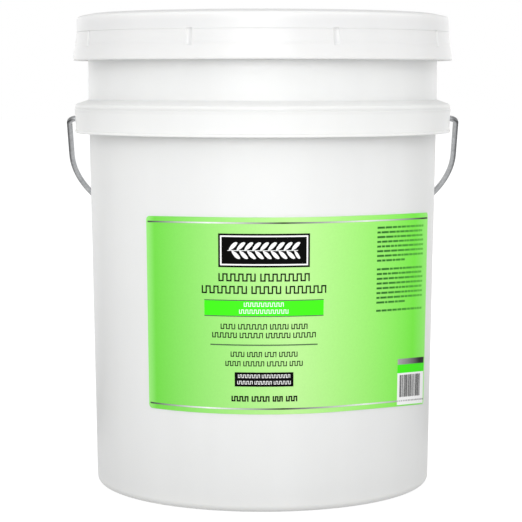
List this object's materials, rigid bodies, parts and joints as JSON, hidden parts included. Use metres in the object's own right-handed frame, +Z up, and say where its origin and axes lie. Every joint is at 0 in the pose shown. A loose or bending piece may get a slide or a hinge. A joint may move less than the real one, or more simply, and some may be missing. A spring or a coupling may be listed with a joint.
{
  "type": "plastic pail with lid",
  "caption": "Round tapered plastic shipping pail with a press-on lid, a collar, a swinging steel wire bail with a roller grip, and a printed label.",
  "frame": {"origin": "centre of the foot ring's underside, on the pail's axis", "axes": "+Z up along the pail's axis, -Y towards the front with the label, +X to the right of it along the bail's pivot axis"},
  "size_m": [0.32, 0.3141, 0.3746],
  "materials": {
    "pail_plastic": "semi-gloss white HDPE",
    "label_film": "glossy printed film",
    "lid_plastic": "semi-gloss white HDPE",
    "gasket_rubber": "matt foam",
    "bail_steel": "galvanised drawn wire",
    "grip_plastic": "satin white moulding"
  },
  "bodies": {
    "pail": {"pail_shell": "pail_plastic", "front_label": "label_film"},
    "lid": {"lid_shell": "lid_plastic", "lid_gasket": "gasket_rubber"},
    "bail": {"bail_wire": "bail_steel"},
    "grip": {"bail_grip": "grip_plastic"}
  },
  "joints": [
    {"name": "lid_lift", "type": "slide", "parent": "pail", "child": "lid", "axis": [0, 0, 1], "range_m": [0, 0.2]},
    {"name": "bail_swing", "type": "hinge", "parent": "pail", "child": "bail", "pos_m": [0, 0, 0.292], "axis": [1, 0, 0], "range_deg": [0, 251.31]},
    {"name": "grip_spin", "type": "hinge", "parent": "bail", "child": "grip", "pos_m": [0, 0.1503, 0.18414], "axis": [1, 0, 0], "continuous": true}
  ]
}
